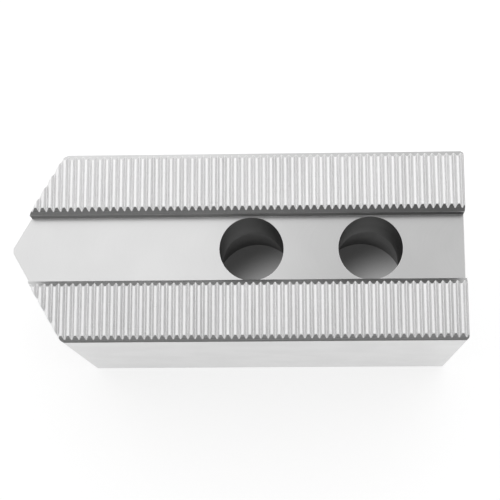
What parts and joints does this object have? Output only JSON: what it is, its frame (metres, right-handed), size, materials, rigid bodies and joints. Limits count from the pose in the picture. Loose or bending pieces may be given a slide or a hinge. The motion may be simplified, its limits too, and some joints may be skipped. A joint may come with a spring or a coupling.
{
  "type": "machinable soft jaw",
  "caption": "Soft top jaw for a lathe chuck: a pointed block with a serrated, slotted mounting side and counterbored bolt holes.",
  "frame": {"origin": "under the middle of the jaw's length and width, on the plain clamping face", "axes": "+X along the chuck's radius from the pointed nose to the square tail, +Y across the jaw, +Z from the clamping face to the serrated mounting side"},
  "size_m": [0.095, 0.04, 0.05],
  "materials": {
    "jaw_metal": "milled all over: fine feed marks, satin, with small chamfers left bright"
  },
  "bodies": {
    "root": {"soft_jaw": "jaw_metal"}
  },
  "joints": []
}
